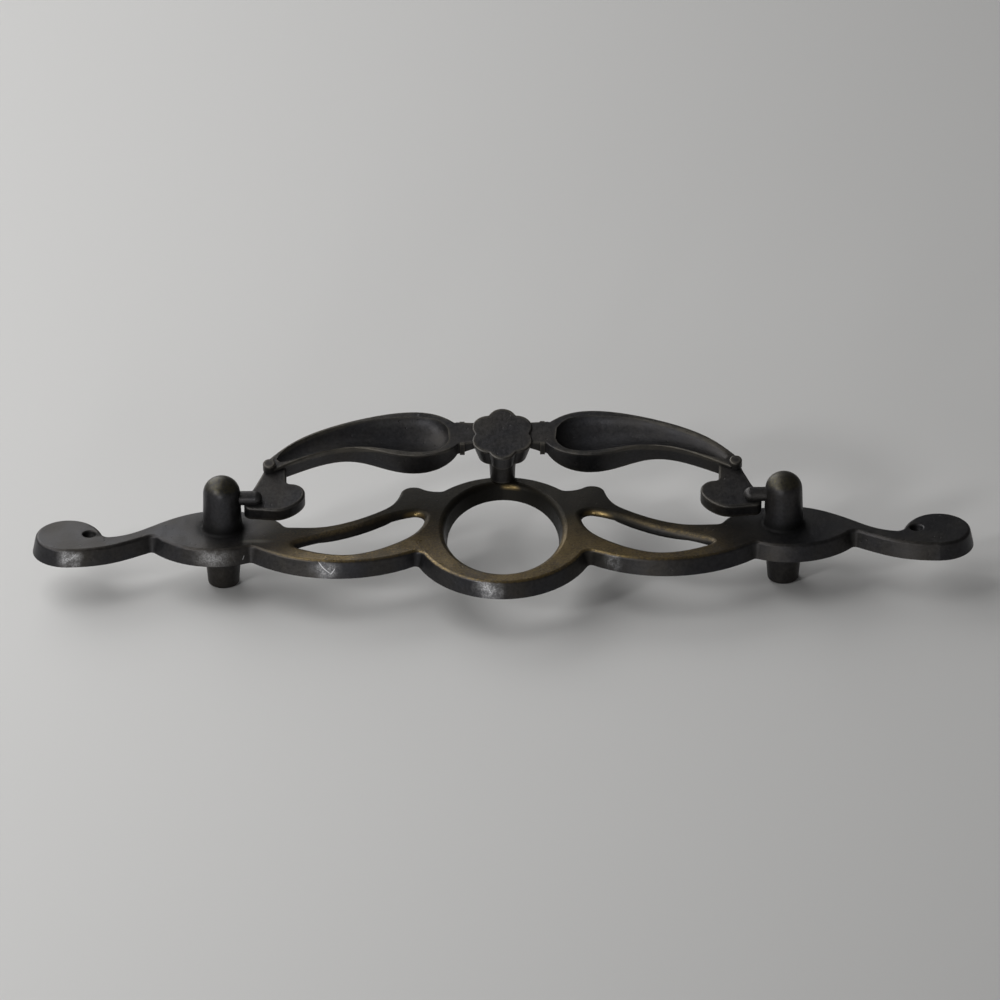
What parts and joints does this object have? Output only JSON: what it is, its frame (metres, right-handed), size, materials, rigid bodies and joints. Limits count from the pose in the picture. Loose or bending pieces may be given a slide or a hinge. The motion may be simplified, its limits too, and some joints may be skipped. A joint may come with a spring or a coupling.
{
  "type": "drawer pull",
  "caption": "Cast bail pull for a drawer: a pierced scroll plate with an oval ring and domed posts carries a swinging bail of scooped leaves that meet at a lobed rosette.",
  "frame": {"origin": "midway between the two fixing screws, on the back face of the plate, which lies on the drawer front", "axes": "+X along the pull through both screws, +Y towards the side to which the bail hangs, +Z out of the drawer front"},
  "size_m": [0.1704, 0.0429, 0.0242],
  "materials": {
    "plate_bronze": "dark antique patina, rubbed to olive brass along the worn edges",
    "bail_bronze": "dark antique patina, satin"
  },
  "bodies": {
    "plate": {"back_plate": "plate_bronze"},
    "handle": {"bail": "bail_bronze"}
  },
  "joints": [
    {"name": "bail_swing", "type": "hinge", "parent": "plate", "child": "handle", "pos_m": [0, 0, 0.0093], "axis": [1, 0, 0], "range_deg": [0, 176]}
  ]
}
